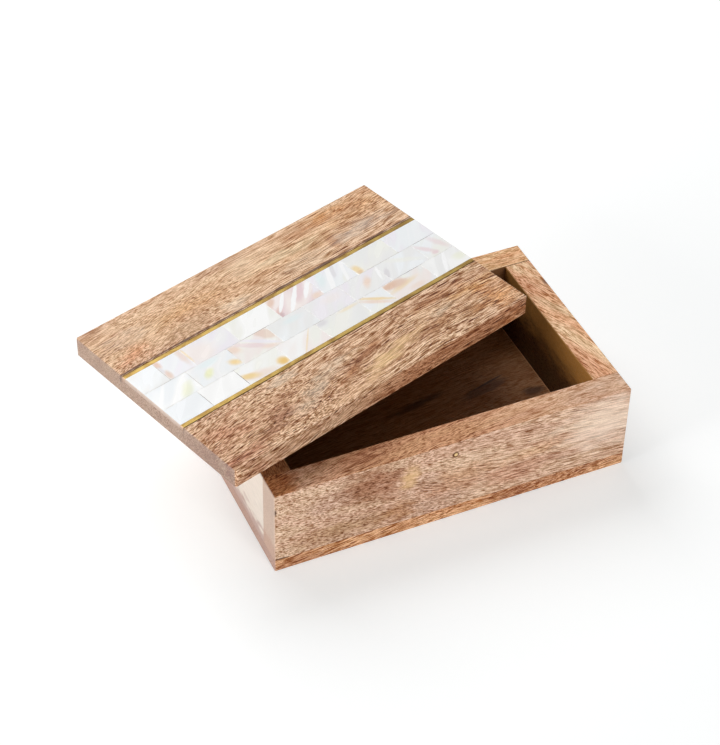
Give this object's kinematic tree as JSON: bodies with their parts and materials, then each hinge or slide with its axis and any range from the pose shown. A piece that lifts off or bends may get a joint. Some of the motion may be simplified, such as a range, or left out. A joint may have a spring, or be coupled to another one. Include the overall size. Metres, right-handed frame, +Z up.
{
  "type": "wooden keepsake box",
  "caption": "Rectangular wooden keepsake box with a lift-off lid, inlaid with a band of mother-of-pearl tiles between brass strips, lying askew on the open box.",
  "frame": {"origin": "middle of the flat underside of the box", "axes": "+X along the length of the box to its right end, +Y to the back, +Z up out of the opening"},
  "size_m": [0.2286, 0.1685, 0.065],
  "materials": {
    "box_wood": "open-grained mango wood, oiled satin",
    "lid_wood": "open-grained mango wood, oiled satin",
    "brass": "sanded flush, slightly tarnished",
    "mother_of_pearl": "polished mother-of-pearl",
    "adhesive": "cream filled adhesive"
  },
  "bodies": {
    "box": {"bottom_board": "box_wood", "front_wall": "box_wood", "rear_wall": "box_wood", "left_wall": "box_wood", "right_wall": "box_wood"},
    "lid": {"lid_board": "lid_wood", "lid_plug": "lid_wood", "brass_strip_far": "brass", "brass_strip_near": "brass", "inlay_bed": "adhesive", "pearl_far_1": "mother_of_pearl", "pearl_far_2": "mother_of_pearl", "pearl_far_3": "mother_of_pearl", "pearl_far_4": "mother_of_pearl", "pearl_far_5": "mother_of_pearl", "pearl_far_6": "mother_of_pearl", "pearl_far_7": "mother_of_pearl", "pearl_far_8": "mother_of_pearl", "pearl_middle_1": "mother_of_pearl", "pearl_middle_2": "mother_of_pearl", "pearl_middle_3": "mother_of_pearl", "pearl_middle_4": "mother_of_pearl", "pearl_middle_5": "mother_of_pearl", "pearl_middle_6": "mother_of_pearl", "pearl_middle_7": "mother_of_pearl", "pearl_middle_8": "mother_of_pearl", "pearl_near_1": "mother_of_pearl", "pearl_near_2": "mother_of_pearl", "pearl_near_3": "mother_of_pearl", "pearl_near_4": "mother_of_pearl", "pearl_near_5": "mother_of_pearl", "pearl_near_6": "mother_of_pearl", "pearl_near_7": "mother_of_pearl", "pearl_near_8": "mother_of_pearl"}
  },
  "joints": [
    {"name": "lid_lift", "type": "slide", "parent": "box", "child": "lid", "axis": [0, 0, 1], "range_m": [0, 0.08]}
  ]
}
